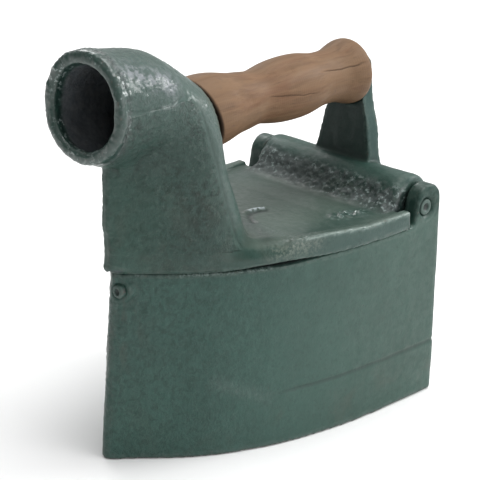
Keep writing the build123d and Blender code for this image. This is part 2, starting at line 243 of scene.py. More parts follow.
def remeshed(name, node, voxel):
    """Voxel remesh of a CAD piece, as a new object."""
    bm = bmesh.new()
    bm.from_mesh(NODES[node].data)
    source_mesh = bpy.data.meshes.new(name + "_src")
    bm.to_mesh(source_mesh)
    bm.free()
    source = bpy.data.objects.new(name + "_src", source_mesh)
    scene.collection.objects.link(source)
    modifier = source.modifiers.new("r", "REMESH")
    modifier.mode = "VOXEL"
    modifier.voxel_size = voxel / 1000.0
    modifier.adaptivity = 0.0
    bpy.context.view_layer.update()
    graph = bpy.context.evaluated_depsgraph_get()
    me = bpy.data.meshes.new_from_object(source.evaluated_get(graph))
    bpy.data.objects.remove(source)
    me.name = name
    me.materials.clear()
    return new_object(name, me)


def rounded(name, node, voxel, blend):
    """Remeshed object, its slightly smoothed points (not yet set) and its edges."""
    obj = remeshed(name, node, voxel)
    edges = get_edges(obj.data)
    return obj, relax(get_points(obj.data), edges, 2, blend), edges


def stand_in(obj, node, body, material):
    obj.data.materials.append(material)
    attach(obj, body)
    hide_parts(node)


# --------------------------------------------------------------------------
# Material builder
# --------------------------------------------------------------------------
class Material:
    """Node helper. A value may be a number, a colour, a socket or an attribute's name.
    grain is (feature size in mm, detail, roughness[, warp]) of a noise. over is the
    range a ramp reads, to is the range it gives."""

    def __init__(self, name):
        self.material = bpy.data.materials.new(name)
        self.material.use_nodes = True
        self.tree = self.material.node_tree
        self.tree.nodes.clear()
        output = self.node("OutputMaterial")
        self.shader = self.node("BsdfPrincipled")
        self.tree.links.new(self.shader.outputs[0], output.inputs[0])
        self.co = self.node("TexCoord").outputs["Object"]

    def node(self, kind):
        return self.tree.nodes.new("ShaderNode" + kind)

    def put(self, socket, value):
        if isinstance(value, str):
            value = self.attr(value)
        if isinstance(value, bpy.types.NodeSocket):
            self.tree.links.new(value, socket)
        elif isinstance(value, tuple):
            socket.default_value = (*value, 1.0)
        else:
            socket.default_value = value

    def stretch(self, *scale):
        n = self.node("Mapping")
        n.inputs["Scale"].default_value = scale
        self.put(n.inputs[0], self.co)
        return n.outputs[0]

    def noise(self, grain, co=None):
        size, detail, rough, warp = (*grain, 0.0)[:4]
        n = self.node("TexNoise")
        self.put(n.inputs["Vector"], co or self.co)
        n.inputs["Scale"].default_value = 1000.0 / size
        n.inputs["Detail"].default_value = detail
        n.inputs["Roughness"].default_value = rough
        n.inputs["Distortion"].default_value = warp
        return n.outputs[0]

    def cells(self, size):
        n = self.node("TexVoronoi")
        self.put(n.inputs["Vector"], self.co)
        n.inputs["Scale"].default_value = 1000.0 / size
        return n.outputs["Distance"]

    def attr(self, name):
        n = self.node("Attribute")
        n.attribute_name = name
        return n.outputs["Fac"]

    def axis(self, k):
        n = self.node("SeparateXYZ")
        self.put(n.inputs[0], self.co)
        return n.outputs[k]

    def ramp(self, value, over, to=(0.0, 1.0)):
        n = self.node("MapRange")
        n.interpolation_type = "SMOOTHSTEP"
        self.put(n.inputs["Value"], value)
        n.inputs["From Min"].default_value, n.inputs["From Max"].default_value = over
        n.inputs["To Min"].default_value, n.inputs["To Max"].default_value = to
        return n.outputs[0]

    def patches(self, grain, over, to=(0.0, 1.0), co=None):
        return self.ramp(self.noise(grain, co), over, to)

    def math(self, operation, a, b, clamp=False):
        n = self.node("Math")
        n.operation = operation
        n.use_clamp = clamp
        self.put(n.inputs[0], a)
        self.put(n.inputs[1], b)
        return n.outputs[0]

    def mul(self, a, b):
        return self.math("MULTIPLY", a, b)

    def blend(self, data_type, socket_type, amount, a, b):
        n = self.node("Mix")
        n.data_type = data_type
        self.put(n.inputs["Factor"], amount)
        for socket, value in zip([s for s in n.inputs if s.type == socket_type][-2:], (a, b)):
            self.put(socket, value)
        return [s for s in n.outputs if s.type == socket_type][0]

    def mix(self, amount, a, b):
        return self.blend("RGBA", "RGBA", amount, a, b)

    def mixf(self, amount, a, b):
        return self.blend("FLOAT", "VALUE", amount, a, b)

    def tint(self, col, mask, amount, over):
        """Lay the colour over on col, by mask times amount."""
        return self.mix(self.mul(mask, amount), col, over)

    def bump(self, height, mm, below=None):
        n = self.node("Bump")
        self.put(n.inputs["Height"], height)
        n.inputs["Distance"].default_value = mm / 1000.0
        n.inputs["Strength"].default_value = 1.0
        if below is not None:
            self.put(n.inputs["Normal"], below)
        return n.outputs[0]

    def finish(self, **inputs):
        for name, value in inputs.items():
            self.put(self.shader.inputs[name.replace("_", " ")], value)
        return self.material


def enamel(name, dark, mid, light, rough, peel, grime, zones=None):
    """Old glossy enamel on rough cast iron; the soot attribute is raw burnt iron.
    peel is the height of the fine unevenness in mm, grime the strength of its patches."""
    m = Material(name)
    mottle = m.noise((7.0, 4, 0.6, 0.4))
    col = m.mix(m.patches((34.0, 3, 0.5), over=(0.32, 0.68)), dark, mid)
    col = m.mix(m.ramp(mottle, over=(0.42, 0.72), to=(0, 0.55)), col, light)
    specks = m.patches((1.5, 3, 0.6), over=(0.30, 0.50), to=(0.34, 0))
    col = m.mix(specks, col, tuple(c * 0.45 for c in dark))
    # grime in patches, then painted shade in the hollows
    grimy = m.patches((19.0, 5, 0.66, 0.8), over=(0.55, 0.74), to=(0, grime))
    col = m.mix(grimy, col, (0.046, 0.056, 0.043))
    col = m.tint(col, "cav", 0.55, over=(0.014, 0.024, 0.020))
    if zones is not None:
        col = zones(m, col)
    # worn edges: thinned enamel, then bare dull metal in a few places
    edge = m.attr("edge")
    wear = m.mul(m.ramp(edge, over=(0.25, 0.95)), m.patches((3.2, 4, 0.65), over=(0.36, 0.62)))
    col = m.tint(col, wear, 0.34, over=(0.085, 0.125, 0.108))
    bare = m.mul(m.ramp(edge, over=(0.55, 1.0)), m.patches((2.0, 4, 0.7), over=(0.60, 0.68)))
    col = m.tint(col, bare, 0.6, over=(0.085, 0.072, 0.058))
    # pin holes and chips
    chips = m.mul(m.ramp(m.cells(9.0), over=(0.036, 0.022)), m.ramp(mottle, over=(0.50, 0.58)))
    col = m.mix(chips, col, (0.028, 0.022, 0.017))
    # raw burnt iron with rust
    soot = m.attr("soot")
    burnt = m.mix(m.patches((5.0, 5, 0.7), over=(0.35, 0.68)),
                  (0.070, 0.080, 0.088), (0.105, 0.112, 0.116))
    rust = m.patches((11.0, 5, 0.7, 0.7), over=(0.60, 0.74), to=(0, 0.45))
    col = m.mix(soot, col, m.mix(rust, burnt, (0.070, 0.042, 0.028)))
    # roughness: patchy enamel, then grime, pebbles, matte areas and soot
    gloss = m.patches((3.4, 4, 0.6), over=(0.3, 0.75), to=(rough - 0.09, rough + 0.14))
    gloss = m.mixf(grimy, gloss, 0.62)
    gloss = m.mixf("pebble", gloss, 0.30)
    matte = m.attr("matte")
    gloss = m.mixf(soot, m.mixf(matte, gloss, 0.80), 0.86)
    relief = m.bump(m.noise((1.25, 3, 0.6)), mm=peel)
    relief = m.bump(m.mul(m.noise((2.8, 5, 0.72)), "rough"), mm=1.3, below=relief)
    relief = m.bump(m.noise((0.7, 2, 0.5)), mm=0.022, below=relief)
    relief = m.bump(m.math("SUBTRACT", 1.0, chips), mm=0.12, below=relief)
    coat = m.mixf(soot, m.mixf("pebble", 0.05, 0.40), 0.0)
    return m.finish(Base_Color=col, Roughness=gloss, Normal=relief,
                    Specular_IOR_Level=m.mixf(matte, m.mixf(soot, 0.42, 0.12), 0.10),
                    Coat_Weight=m.mixf(matte, coat, 0.0), Coat_Roughness=0.18)


def wood(name):
    """Dark turned wood, its grain along x."""
    m = Material(name)
    lengthwise = m.stretch(0.055, 1.0, 1.0)
    rings = m.noise((2.4, 5, 0.62, 0.5), co=lengthwise)
    broad = m.noise((11.0, 3, 0.55, 0.6), co=m.stretch(0.28, 1.0, 1.0))
    pores = m.noise((0.55, 3, 0.6), co=m.stretch(0.06, 1.0, 1.0))
    col = m.mix(m.ramp(rings, over=(0.34, 0.66)), (0.126, 0.071, 0.037), (0.172, 0.099, 0.053))
    col = m.mix(m.ramp(broad, over=(0.40, 0.70), to=(0, 0.70)), col, (0.160, 0.097, 0.054))
    col = m.mix(m.ramp(broad, over=(0.50, 0.25), to=(0, 0.55)), col, (0.140, 0.066, 0.035))
    col = m.mix(m.ramp(pores, over=(0.58, 0.72), to=(0, 0.4)), col, (0.070, 0.040, 0.026))
    # rubbed, greyed patches, then grime
    rubbed = m.patches((16.0, 4, 0.6, 0.6), over=(0.52, 0.74), to=(0, 0.22))
    col = m.mix(rubbed, col, (0.190, 0.130, 0.085))
    grime = m.patches((8.0, 5, 0.68, 0.9), over=(0.56, 0.74), to=(0, 0.42))
    col = m.mix(grime, col, (0.088, 0.060, 0.043))
    # ends darkened: stain near both ends, and painted shade on the end faces, the recess and the
    # bore
    col = m.mix("end", col, (0.032, 0.018, 0.012))
    col = m.tint(col, "crack", 0.75, over=(0.026, 0.015, 0.010))
    gloss = m.patches((4.0, 4, 0.6), over=(0.3, 0.7), to=(0.52, 0.70), co=lengthwise)
    relief = m.bump(pores, mm=0.05, below=m.bump(rings, mm=0.10))
    return m.finish(Base_Color=col, Roughness=m.mixf("crack", gloss, 0.9), Normal=relief,
                    Specular_IOR_Level=0.24)


def steel(name, base, rust, worn, painted=False):
    """Rusty steel, bare or under patchy green paint. rust and worn are strengths."""
    m = Material(name)
    rusty = m.patches((2.6, 5, 0.66, 0.5), over=(0.50, 0.66), to=(0, rust))
    col = m.mix(m.patches((9.0, 4, 0.6), over=(0.35, 0.7)), base, tuple(c * 1.7 for c in base))
    col = m.mix(rusty, col, (0.115, 0.048, 0.022))
    if painted:
        paint = m.patches((4.2, 5, 0.66, 0.7), over=(0.34, 0.46))
        col = m.mix(paint, col, (0.026, 0.062, 0.050))
        metal = m.mixf(paint, m.mixf(rusty, 0.85, 0.05), 0.0)
        edge_colour = (0.085, 0.120, 0.105)
    else:
        metal = m.mixf(rusty, 0.9, 0.05)
        edge_colour = (0.34, 0.33, 0.31)
    col = m.tint(col, m.ramp("edge", over=(0.3, 0.9)), worn, over=edge_colour)
    # painted shade in the hollows
    col = m.tint(col, "cav", 0.75, over=(0.010, 0.012, 0.011))
    gloss = m.mixf(rusty, m.patches((1.4, 3, 0.6), over=(0.3, 0.7), to=(0.36, 0.56)), 0.82)
    relief = m.bump(m.noise((0.9, 4, 0.62)), mm=0.06)
    relief = m.bump(m.noise((3.0, 3, 0.5)), mm=0.10, below=relief)
    return m.finish(Base_Color=col, Roughness=gloss, Metallic=metal, Normal=relief)


def raw_iron(name):
    """Burnt black iron with rust and ash."""
    m = Material(name)
    mottle = m.noise((4.0, 5, 0.68, 0.6))
    col = m.mix(m.ramp(mottle, over=(0.35, 0.68)), (0.012, 0.012, 0.012), (0.040, 0.035, 0.030))
    rust = m.patches((9.0, 5, 0.7, 0.9), over=(0.50, 0.68), to=(0, 0.8))
    col = m.mix(rust, col, (0.105, 0.042, 0.018))
    ash = m.patches((6.0, 5, 0.7, 0.5), over=(0.58, 0.70), to=(0, 0.5))
    col = m.mix(ash, col, (0.20, 0.19, 0.175))
    return m.finish(Base_Color=col, Roughness=m.ramp(mottle, over=(0.3, 0.7), to=(0.7, 0.92)),
                    Normal=m.bump(m.noise((1.4, 4, 0.65)), mm=0.14), Specular_IOR_Level=0.3)


# --------------------------------------------------------------------------
# Fire box casting
# --------------------------------------------------------------------------
SCREW_Y, SCREW_Z = 3.2, 81.6    # seat of the toe screw
CASTING_LINE_Z = 26.3
BLISTER_LINE = [(45.3, 32.4, 36), (34.5, 37.3, 30.7), (21.9, 42.1, 24.7)]


def body_zones(m, col):
    """Colour areas of the fire box; heights and places along x are in metres."""
    col = m.tint(col, "heel", 0.30, over=(0.023, 0.052, 0.034))
    # painted shade along the casting line's groove
    col = m.tint(col, "line", 0.60, over=(0.008, 0.018, 0.015))
    height, along = m.axis(2), m.axis(0)
    # brown upright streaks at the toe
    streaks = m.patches((5.0, 4, 0.6), over=(0.46, 0.62), co=m.stretch(1, 1, 0.30))
    streaks = m.mul(m.ramp(along, over=(0.066, 0.080)), streaks)
    streaks = m.mul(streaks, m.ramp(height, over=(0.030, 0.062)))
    col = m.tint(col, streaks, 0.65, over=(0.050, 0.040, 0.030))
    # brown film low down
    film = m.patches((22.0, 4, 0.6, 0.6), over=(0.50, 0.68), to=(0, 0.26))
    col = m.tint(col, m.ramp(height, over=(0.045, 0.005)), film, over=(0.058, 0.060, 0.046))
    # painted shadow under the lid's overhang along the box rim
    col = m.tint(col, "brim", 0.80, over=(0.008, 0.013, 0.012))
    # paint blisters, their tops lightened as painted highlights
    col = m.tint(col, "blister", 0.35, over=(0.080, 0.110, 0.096))
    # rough toe half: green ground, dark mottle, light mottle
    col = m.tint(col, "rough", 0.30, over=(0.020, 0.088, 0.068))
    dark = m.patches((3.0, 5, 0.72, 0.6), over=(0.46, 0.60), to=(0, 0.70))
    col = m.tint(col, "rough", dark, over=(0.008, 0.036, 0.027))
    light = m.patches((2.0, 5, 0.75), over=(0.56, 0.68), to=(0, 0.60))
    col = m.tint(col, "rough", light, over=(0.044, 0.108, 0.086))
    col = m.tint(col, "lug", 0.80, over=(0.008, 0.028, 0.022))
    # ragged line of painted glints along the box rim
    ragged = m.mul(m.patches((1.5, 4, 0.7), over=(0.46, 0.60)),
                   m.patches((11.0, 3, 0.5), over=(0.40, 0.58), to=(0.2, 1)))
    col = m.tint(col, m.mul("rim", ragged), 0.8, over=(0.20, 0.26, 0.24))
    # sole: lengthwise scratches with rust
    scratches = m.patches((1.2, 4, 0.6), over=(0.35, 0.65), co=m.stretch(0.05, 1, 1))
    sole = m.mix(scratches, (0.10, 0.095, 0.088), (0.21, 0.20, 0.185))
    rust = m.patches((14.0, 5, 0.7), over=(0.55, 0.70), to=(0, 0.7))
    return m.mix("sole", col, m.mix(rust, sole, (0.085, 0.045, 0.026)))


body, co, edges = rounded("fire_box_casting", "body_casting", voxel=0.85, blend=0.35)
set_points(body.data, co)
normal = get_normals(body.data)
convex, concave = curvature(co, normal, edges)
x, y, z = co.T
nx, ny, nz = normal.T
side = np.abs(y)
hinge_reach = from_hinge(x, z)

# keep: 0 where faces must stay true, at the hinge, the screw seat and behind the door
keep = np.clip(rise(15.6, 18.5, hinge_reach) + (side > 48.5) * rise(5.6, 8.0, hinge_reach), 0, 1)
keep *= rise(4.8, 6.2, np.hypot(y - SCREW_Y, z - SCREW_Z)) + (x < 60)
keep = np.clip(keep, 0, 1)
keep *= 1 - (x < -84.2) * (side < 30) * rise(46.0, 40.0, z)

# inside of the box: walls facing its middle line, and the floor
inner = ((nx * (x - np.clip(x, -52, 46)) + ny * y) < 0) & within(z, 11, 92)
inner |= within(z, 11, 15) & (nz > 0.5) & (side < 54)
inner &= ~((x < -64) & (side > 46.5))
toeward = rise(0.0, 74.0, x)

# relief: broad waves, then grain and pebbles growing towards the toe
relief = 0.26 * noise(co, size=24.0, shift=3.1) + 0.10 * noise(co, size=8.5, shift=7.7)
relief += (0.035 + 0.050 * toeward) * noise(co, size=2.7, shift=11.0)
relief += (0.02 + 0.24 * toeward * rise(20, 80, z)) * (pebbles(co, size=3.0, shift=2.2) - 0.45)
tall = pebbles(co * [1, 1, 0.72], size=2.6, shift=5.2) - 0.45
relief += 0.34 * rise(45, 76, x) * tall * rise(5, 55, z)
relief += 0.07 * toeward * noise(co, size=2.2, shift=15.0)
blister_band = near(co, BLISTER_LINE, width=3.4)
blisters = blister_band * rise(0.80, 0.95, pebbles(co, size=2.6, shift=12.5))
relief += 0.30 * blisters
inner_relief = 0.30 * noise(co, size=6.0, shift=1.0) + 0.16 * (pebbles(co, 4.2, shift=8.0) - 0.5)
relief = np.where(inner, inner_relief, relief)
# casting line: a groove with a swelling below it, round the heel half
heel_half = rise(27, 4, x) * (~inner) * (x > -84.4)
line_z = CASTING_LINE_Z + 0.35 * noise(co * [1, 1, 0.0], size=14.0, shift=4.0)
swelling = 0.22 * rise(line_z + 0.2, line_z - 1.2, z) * rise(6, 16, z)
relief += heel_half * (-0.34 * bell(z - line_z - 0.2, 0.75) + swelling)

moved = co + normal * (relief * keep)[:, None]
# the rim sags a little in the middle of each side
moved[:, 2] -= (side > 12) * 0.60 * mid_side(x) * rise(88.6, 89.6, z)
# the sole never goes below the floor
moved[:, 2] = np.where(z < 0.8, np.maximum(moved[:, 2], 0.0), moved[:, 2])
set_points(body.data, moved)

lug = rise(90, 96, z) * (x < -62) * (side > 44) * (~inner)
outward = ny * np.sign(y)
set_attributes(
    body.data,
    edge=np.clip(convex * 1.1 - 0.1, 0, 1),
    cav=concave,
    soot=spread(inner, edges, 2),
    sole=spread((z < 0.6) & (nz < -0.6), edges, 1, blend=0.5),
    pebble=np.clip(0.35 * rise(40, 80, x) * rise(10, 60, z) + 0.9 * blister_band, 0, 1),
    # painted shade along the casting line's groove
    line=heel_half * bell(z - line_z - 0.15, 0.75),
    rough=(~inner) * rise(-15, 70, x) * 0.9,
    lug=lug,
    matte=0.5 * lug * (outward > 0.6),
    # paint blisters, their tops lightened as painted highlights
    blister=blisters,
    # painted shadow under the lid's overhang along the box rim
    brim=(~inner) * rise(86.6, 89.2, z) * rise(-10, 45, x) * (z < 91),
    heel=rise(60, -70, x),
    # painted glints along the box rim
    rim=(rise(48, 16, np.abs(x - 44)) * (~inner)
         * rise(87.9, 88.5, z - 0.25 * noise(co, size=2.5, shift=3.0))))

body_enamel = enamel("enamel_body", dark=(0.019, 0.057, 0.045), mid=(0.025, 0.072, 0.057),
                     light=(0.034, 0.083, 0.067), rough=0.42, peel=0.075, grime=0.16,
                     zones=body_zones)
stand_in(body, "body_casting", "fire_box", body_enamel)

# --------------------------------------------------------------------------
# Lid casting: plate, raised roll across it, rear post and chimney
# --------------------------------------------------------------------------
CHIMNEY_AXIS = [(50, 0, 84), (52, 0, 112), (55, 0, 138), (62, 0, 156), (76, 0, 167),
                (98, 0, 170.2)]
MOUTH = np.array([94.9, 0.0, 169.9])    # centre of the chimney mouth, which opens towards +x
MOUTH_TILT = math.radians(5.0)
MOUTH_OUT = np.array([math.cos(MOUTH_TILT), 0, math.sin(MOUTH_TILT)])
MOUTH_UP = np.array([-math.sin(MOUTH_TILT), 0, math.cos(MOUTH_TILT)])
POST_TOP_RADIUS = 7.9                   # top of the rear post, round the handle rod

# lines on the lid, x y z; the first two are mirrored to both sides
CHIMNEY_FOOT = [(80, 5, 0), (70, 14, 0), (60, 22, 0), (50, 29, 0), (40, 35, 0), (30, 40, 0),
                (20, 44, 0)]
TUBE_TO_FLANK = [(90.5, 24, 164), (90.5, 20.5, 156), (88.5, 14, 149), (86.5, 6, 143)]
EDGE_SPECKLE = [(18, 46, 100), (2, 49.4, 100.5)]
PLATE_BUMPS = [(-34, 32.5, 96.6), (-40, 32.7, 96.6), (-46, 36, 96.6)]
COLUMN_BASE = [(30, 36, 103), (24, 30, 102), (17, 12, 101.3), (16, 0, 101.3)]
COLUMN_SHADE = [(20, 38, 101.5), (15, 28, 101.5), (12, 14, 101.5), (11, 0, 101.5)]
CREASE_RIDGE = [(-13.5, 5.0, 99.0), (-8.0, 4.4, 99.5), (-3.0, 5.2, 100.0), (0.5, 6.8, 100.6)]
CREASE_GLINT = [(-12.5, 5.2, 99.0), (-8.0, 4.6, 99.5), (-3.0, 5.2, 100.0)]
CREASE_VALLEY = [(-12.0, 8.2, 99.0), (-6.5, 7.6, 99.5), (-2.0, 8.3, 100.0),
                 (2.5, 10.6, 100.7), (6.0, 14.5, 101.2), (9.0, 20.0, 101.4)]
# path of the painted highlight on the tube's top
TUBE_HAZE = [(86, 15.0, 187.4), (80, 16.5, 185.0), (71, 18.0, 181.8), (64, 20.0, 177.5)]
PLATE_SIDES = [[(0, 45, 99), (-20, 42, 97), (-40, 39, 96.6), (-58, 37, 96.6)],
               [(-10, -40, 97), (-35, -43, 96.6), (-58, -40, 96.6)]]
# x of the chimney's rear strip edge at each z, and z of the flank's top edge at each x
STRIP_Z, STRIP_X = [98, 113, 127, 140, 153, 167, 172], [33.5, 38.0, 41.0, 44.0, 47.0, 50.0, 53.0]
SEAM_X, SEAM_Z = [60, 70, 78, 86.5, 92], [172.4, 170.4, 170.9, 171.6, 172.5]


def fillet_lid(co, edges, normal):
    """Fill the sharp folds of the casting. Returns the points and the foot mask."""
    x, y, z = co.T
    side = np.abs(y)
    folded = np.c_[x, side, z]
    foot = rise(8, 20, x) * rise(93.5, 96.5, z) * rise(114.0, 106.0, z)
    foot *= rise(9.0, 5.0, line_distance(folded * [1, 1, 0], CHIMNEY_FOOT))
    off_bore = (normal[:, 1] * np.sign(y) > -0.2) & (np.hypot(y, z - MOUTH[2]) > 22.4)
    valley = rise(13.0, 8.0, line_distance(folded, TUBE_TO_FLANK)) * (off_bore | (x < 80))
    valley *= rise(93.6, 91.0, x) * (line_distance(co, CHIMNEY_AXIS[1:]) > 12)
    valley *= rise(4.0, 10.0, side)
    roll = rise(-72.5, -68.0, x) * rise(-49.0, -54.0, x) * rise(46.2, 44.8, side)
    roll *= (z > 95.8) * rise(112, 108, z)
    co = relax_region(co, edges, valley, rounds=900, blend=0.95, outward=normal)
    co = relax_region(co, edges, valley, rounds=12, blend=0.6)
    co = relax_region(co, edges, foot, rounds=110, blend=0.65)
    return relax_region(co, edges, roll, rounds=60, blend=0.6), foot


def lid_zones(m, col):
    """Colour areas of the lid; heights and places along x are in metres."""
    # chimney flank: dark mottle in broad patches, light mottle
    broad = m.patches((20.0, 3, 0.5, 0.4), over=(0.36, 0.62), to=(0.35, 1))
    mottle = m.mul(broad, m.patches((3.4, 5, 0.72, 0.6), over=(0.45, 0.60), to=(0, 0.85)))
    col = m.tint(col, "flank", mottle, over=(0.006, 0.020, 0.015))
    light = m.patches((2.2, 5, 0.75), over=(0.55, 0.68), to=(0, 0.6))
    col = m.tint(col, "flank", light, over=(0.074, 0.108, 0.090))
    # mouth lip: dark patches, and light specks that are painted glints
    dark = m.patches((3.2, 4, 0.7), over=(0.40, 0.60), to=(0.20, 0.85))
    col = m.tint(col, "lip", dark, over=(0.008, 0.022, 0.019))
    specks = m.mul(m.patches((1.9, 3, 0.65), over=(0.54, 0.64)),
                   m.patches((14.0, 3, 0.5), over=(0.42, 0.60), to=(0.15, 1)))
    col = m.tint(col, "lip", specks, over=(0.24, 0.29, 0.28))
    # flank greener low down towards the toe
    low_green = m.mul(m.ramp(m.axis(0), over=(0.052, 0.080)),
                      m.ramp(m.axis(2), over=(0.152, 0.122), to=(0, 0.50)))
    col = m.tint(col, "flank", low_green, over=(0.018, 0.072, 0.052))
    # broken-up areas: attribute, grain, ramp input, ramp output, colour
    for name, grain, over, to, colour in (
            ("above", (2.6, 4, 0.7), (0.40, 0.58), (0.15, 0.75), (0.010, 0.036, 0.028)),
            # the seam entry's light colour is painted glints along the raised seam
            ("seam", (3.0, 4, 0.7), (0.42, 0.60), (0, 1), (0.15, 0.19, 0.18)),
            ("espk", (1.5, 4, 0.72), (0.44, 0.60), (0.15, 0.95), (0.125, 0.150, 0.122)),
            # painted highlight along the top edge of the plate's rim
            ("rimline", (3.0, 4, 0.65), (0.38, 0.52), (0.3, 1), (0.25, 0.32, 0.29))):
        col = m.tint(col, name, m.patches(grain, over, to), over=colour)
    # even areas: attribute, strength, colour; the top entry is painted light on the plate's
    # upward faces
    for name, amount, colour in (
            # the plate-side entry: painted shade along the plate's sides, inside the rim
            ("top", 0.70, (0.060, 0.086, 0.069)), ("greener", 0.85, (0.024, 0.050, 0.040)),
            # the crest entry: painted shade in the crease along the strip's edge
            # the dark entry: painted shade in gaps, in a valley and on the post's toe face
            ("crest", 0.40, (0.012, 0.024, 0.020)), ("dark", 0.92, (0.005, 0.012, 0.011)),
            # the post-side entry: painted shade on the rear post's sides and the plate's outer
            # wall
            ("strip", 0.55, (0.046, 0.080, 0.069)), ("postside", 0.45, (0.008, 0.034, 0.033)),
            ("bumps", 0.80, (0.012, 0.040, 0.032))):
        col = m.tint(col, name, amount, over=colour)
    # broken-up areas again, columns as above
    for name, grain, over, to, colour in (
            # the bumps' light specks are painted glints
            ("bumps", (2.2, 3, 0.65), (0.565, 0.64), (0, 1), (0.32, 0.42, 0.39)),
            ("glint", (2.0, 3, 0.6), (0.38, 0.55), (0, 1), (0.40, 0.46, 0.48)),
            ("foot", (3.0, 4, 0.7), (0.36, 0.58), (0.30, 0.80), (0.024, 0.034, 0.031))):
        col = m.tint(col, name, m.patches(grain, over, to), over=colour)
    # roll: grey patches, more even towards -y, then dark grain
    dark = m.patches((3.0, 4, 0.66), over=(0.40, 0.60))
    grey = m.patches((7.0, 3, 0.6, 0.5), over=(0.44, 0.60), to=(0, 0.75))
    grey = m.mixf("rleft", grey, 0.75)
    col = m.tint(col, "rollf", grey, over=(0.082, 0.094, 0.094))
    dark = m.mul(dark, m.mixf("rleft", 0.50, 0.25))
    col = m.tint(col, "rollf", dark, over=(0.016, 0.032, 0.028))
    # painted highlight on the tube's top, in broken patches
    haze = m.patches((3.0, 4, 0.68, 0.4), over=(0.42, 0.62), to=(0.05, 0.85))
    col = m.tint(col, "haze", haze, over=(0.22, 0.235, 0.255))
    # painted glints as light specks on the roll and its foot
    specks = m.mul(m.patches((2.4, 4, 0.68), over=(0.53, 0.64)),
                   m.patches((12.0, 3, 0.5), over=(0.36, 0.58), to=(0.35, 1)))
    roll = m.math("ADD", "rollf", m.mul("foot", 0.45), clamp=True)
    col = m.tint(col, roll, specks, over=(0.20, 0.25, 0.24))
    # painted shade at the foot of the chimney column
    col = m.tint(col, "nape", 0.35, over=(0.022, 0.030, 0.026))
    # chimney browner low down
    brown = m.mul(m.ramp(m.axis(2), over=(0.150, 0.104)),
                  m.patches((16.0, 4, 0.6, 0.6), over=(0.42, 0.66), to=(0, 0.32)))
    along = m.ramp(m.axis(0), over=(0.010, 0.030))
    return m.tint_by(brown, along, col) if False else m.mix(
        m.mul(brown, along), col, (0.042, 0.052, 0.040))


lid, co, edges = rounded("lid_casting_visual", "lid_casting", voxel=0.75, blend=0.35)
co, foot = fillet_lid(co, edges, get_normals(lid.data))
set_points(lid.data, co)
normal = get_normals(lid.data)
convex, concave = curvature(co, normal, edges)
x, y, z = co.T
nx, ny, nz = normal.T
side = np.abs(y)
outward = ny * np.sign(y)
hinge_reach = from_hinge(x, z)
rod_reach = np.hypot(y, z - ROD_Z)

axis_reach, axis_place = nearest_on_line(co, CHIMNEY_AXIS)
facing = ((co - axis_place) / axis_reach[:, None] * normal).sum(1)
inner = (facing < -0.25) & (axis_reach < 37) & (x > 16) & (z > 84)
under = (nz < -0.5) & (z < 95) & (x > -66) & ~(within(z, 89.2, 91.5) & (convex > 0.5))
under |= z < 89.4

# keep: 0 where faces must stay true, at the hinge, the rod and the face resting on the box
keep = rise(5.2, 7.5, hinge_reach) * (1 - 0.9 * (side > 44.6) * (hinge_reach < 15.5))
keep *= rise(8.6, 10.5, rod_reach) + (x > 45) + (np.abs(x + 82) < 1.6)
keep = np.clip(keep, 0, 1)
keep *= 1 - within(z, 84, 90.4) * (nz < -0.6) * (~inner)

# places round the mouth: distance out along it, radius, and angle from +y in degrees
mouth_along = (co - MOUTH) @ MOUTH_OUT
mouth_up = (co - MOUTH) @ MOUTH_UP
mouth_radius = np.hypot(y, mouth_up)
mouth_angle = np.degrees(np.arctan2(mouth_up, y))

# areas
lip = rise(-6.5, -2.0, mouth_along) * (mouth_radius > 17)
top_plate = (nz > 0.55) & (z < 104) & within(x, -62, 40)
tube_top = rise(150, 172, z) * rise(20, 40, x) * (nz > 0.1)
roll_front = rise(-72.0, -68.0, x) * rise(-52.5, -58.0, x) * rise(95.0, 98.0, z) * (side < 46)
roll_front *= rise(109.5, 105.0, z + 1.2 * noise(co, size=9.0, shift=3.0))
roll_foot = rise(-66.0, -61.0, x) * rise(-50.0, -57.0, x) * rise(95.0, 97.0, z) * (side < 45)
edge_speckle = near(co, EDGE_SPECKLE, width=7.5)
bumps = near(co, PLATE_BUMPS, width=3.8)
column_base = near(co, COLUMN_BASE, width=3.5)
strip_x = np.interp(z, STRIP_Z, STRIP_X) + 0.7 * noise(co * [0, 0, 1], size=12.0, shift=4.4)
strip = rise(strip_x + 0.9, strip_x - 0.9, x) * (x > 8) * (side > 6)
strip *= rise(172.0, 164.0, z) * rise(100.0, 103.0, z)
# groove along the strip's edge; its darker colour is painted shade in the crease
crest = bell(x - strip_x, 0.9) * (side > 14) * (outward > 0.2)
crest *= rise(100, 104, z) * rise(170, 162, z)
# upper edge of the flank, where the rough tube starts
seam_z = np.interp(x, SEAM_X, SEAM_Z) + 0.6 * noise(co * [1, 0, 0], size=7.0, shift=2.4)
seam = bell(z - seam_z, 1.35) * rise(57, 62, x) * rise(91.5, 88.5, x)
seam *= rise(-0.15, 0.25, noise(co * [1, 0, 0], size=9.0, shift=6.9))
seam *= (side > 18) * (outward > 0.5)
above = rise(-0.6, 0.8, z - seam_z) * rise(54, 62, x) * rise(93, 90, x) * (z > 160)
flank = rise(0.0, 0.6, outward) * within(x, 20, 93) * (z < 170) * rise(strip_x, strip_x + 3, x)
flank *= np.where(z > 99.5, 1.0, 0.7 * rise(40, 46, x) * (z > 90.9))

